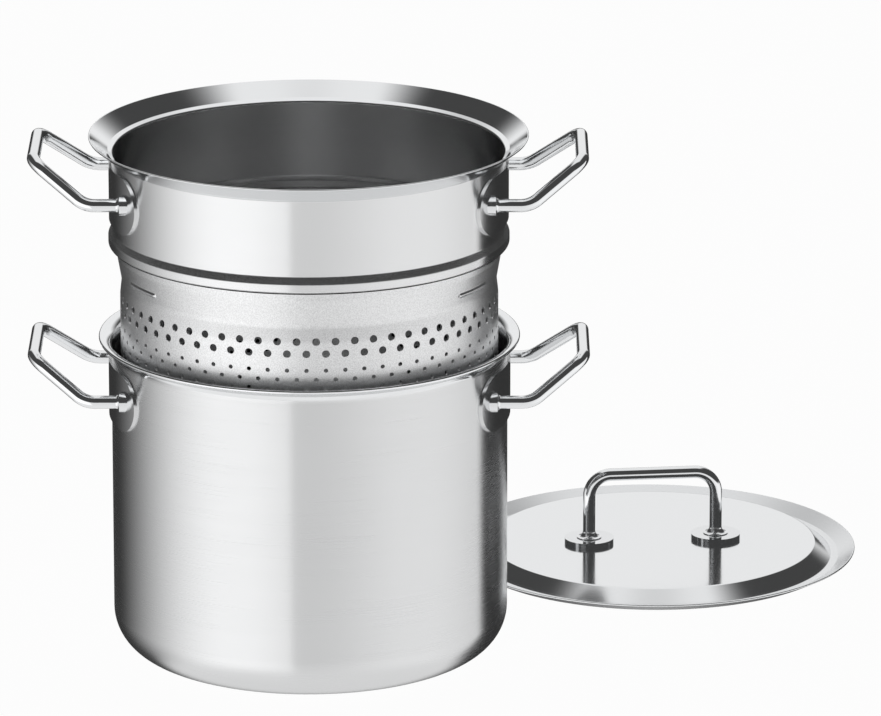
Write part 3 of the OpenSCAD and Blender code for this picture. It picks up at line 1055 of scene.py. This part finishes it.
class PASTAPOT_OT_studio(PieceOperator, bpy.types.Operator):
    """Set the camera, the floor and the studio round the pot"""

    bl_idname = "pasta_pot.studio"
    bl_label = "Studio"

    def execute(self, context):
        s = context.scene.pasta_pot_studio
        scene = context.scene
        scene.view_settings.view_transform = "Standard"
        lens = bpy.data.cameras.new("camera")
        lens.lens = s.lens
        lens.sensor_width = 36.0
        lens.clip_end = 100.0
        camera = bpy.data.objects.new("camera", lens)
        camera.location = (s.camera_x, -s.camera_back, s.camera_up)
        camera.rotation_euler = (math.pi / 2 - s.pitch, 0.0, 0.0)
        scene.collection.objects.link(camera)
        scene.camera = camera
        self.floor(scene, s)
        self.light(scene, s)
        return {"FINISHED"}

    def floor(self, scene, s):
        mesh = bpy.data.meshes.new("floor")
        reach = 30.0
        corners = [(-reach, -reach, 0), (reach, -reach, 0), (reach, reach, 0), (-reach, reach, 0)]
        mesh.from_pydata(corners, [], [(0, 1, 2, 3)])
        floor = bpy.data.objects.new("floor", mesh)
        floor.location.z = -FLOOR_GAP
        floor.visible_glossy = False
        scene.collection.objects.link(floor)
        material, graph = new_material("floor_white")
        plain = graph.add("ShaderNodeBsdfDiffuse", {}, {"Color": (0.8, 0.8, 0.8, 1.0)})
        glow = graph.add("ShaderNodeEmission", {}, {"Strength": 1.0})
        camera_ray = graph.add("ShaderNodeLightPath", {}, {}, "Is Camera Ray")
        graph.surface(graph.blend(camera_ray * s.floor, plain, glow))
        mesh.materials.append(material)

    def light(self, scene, s):
        """A world with bright and dark surfaces round the object, white to the camera."""
        world = bpy.data.worlds.new("studio")
        world.use_nodes = True
        scene.world = world
        graph = Graph(world.node_tree)
        way = graph.add("ShaderNodeTexCoord", {}, {}, "Generated")
        x, y, z = way.parts()
        # Degrees from the camera's side round to the right
        turn = x.math("ARCTAN2", -y) * math.degrees(1.0)
        edge = 1.0
        front_from, line_from, front_to = -10.0, 113.0, 119.0
        left = turn.step(-150.0, -50.0) * (1.0 - turn.step(-40.0, 10.0) * 0.2)
        left = left * (1.0 - turn.step(front_from - edge, front_from + edge)) * 1.3
        front = turn.band(front_from, front_to, edge) * (0.82 + turn.band(30.0, 100.0, 30.0) * 0.2)
        line = turn.band(line_from, front_to, edge) * 0.2
        dark_wall, dark_ceiling, below = 0.04, 0.06, 0.9
        walls = left + front + line + dark_wall
        aside = x.math("ABSOLUTE").step(0.3, 0.5)
        ceiling = y.step(-0.14, 0.0) * (1.0 - aside) * 0.85 + dark_ceiling
        room = z.step(0.03, 0.14).between(walls, ceiling)
        seen = z.step(-0.75, -0.6).between(below, room) * s.light
        camera_ray = graph.add("ShaderNodeLightPath", {}, {}, "Is Camera Ray")
        value = camera_ray.between(seen, 1.0)
        background = graph.add("ShaderNodeBackground", {}, {0: value})
        graph.add("ShaderNodeOutputWorld", {}, {0: background})


class PASTAPOT_PT_panel(bpy.types.Panel):
    """The pasta pot's settings and operators"""

    bl_label = "Pasta Pot"
    bl_space_type = "VIEW_3D"
    bl_region_type = "UI"
    bl_category = "Pasta Pot"

    def draw(self, context):
        column = self.layout.column()
        for operator in OPERATORS:
            column.operator(operator.bl_idname)
        for name in SETTINGS:
            group = getattr(context.scene, name)
            box = self.layout.box()
            box.label(text=group.bl_rna.name)
            for field in group.__annotations__:
                box.prop(group, field)


SETTINGS = {
    "pasta_pot": PotSettings,
    "pasta_pot_rods": RodSettings,
    "pasta_pot_insert": InsertSettings,
    "pasta_pot_lid": LidSettings,
    "pasta_pot_detail": DetailSettings,
    "pasta_pot_finish": FinishSettings,
    "pasta_pot_studio": StudioSettings,
}
OPERATORS = [
    PASTAPOT_OT_shell,
    PASTAPOT_OT_side_handles,
    PASTAPOT_OT_collar,
    PASTAPOT_OT_basket,
    PASTAPOT_OT_lid,
    PASTAPOT_OT_small_pieces,
    PASTAPOT_OT_studio,
]


def register():
    for item in [*SETTINGS.values(), *OPERATORS, PASTAPOT_PT_panel]:
        bpy.utils.register_class(item)
    for name, group in SETTINGS.items():
        setattr(bpy.types.Scene, name, bpy.props.PointerProperty(type=group))


def unregister():
    for name in SETTINGS:
        delattr(bpy.types.Scene, name)
    for item in reversed([*SETTINGS.values(), *OPERATORS, PASTAPOT_PT_panel]):
        bpy.utils.unregister_class(item)


def main():
    register()
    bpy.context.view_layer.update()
    bpy.ops.pasta_pot.shell()
    bpy.ops.pasta_pot.side_handles()
    bpy.ops.pasta_pot.collar()
    bpy.ops.pasta_pot.basket()
    bpy.ops.pasta_pot.lid()
    bpy.ops.pasta_pot.small_pieces()
    bpy.ops.pasta_pot.studio()


if __name__ == "__main__":
    main()
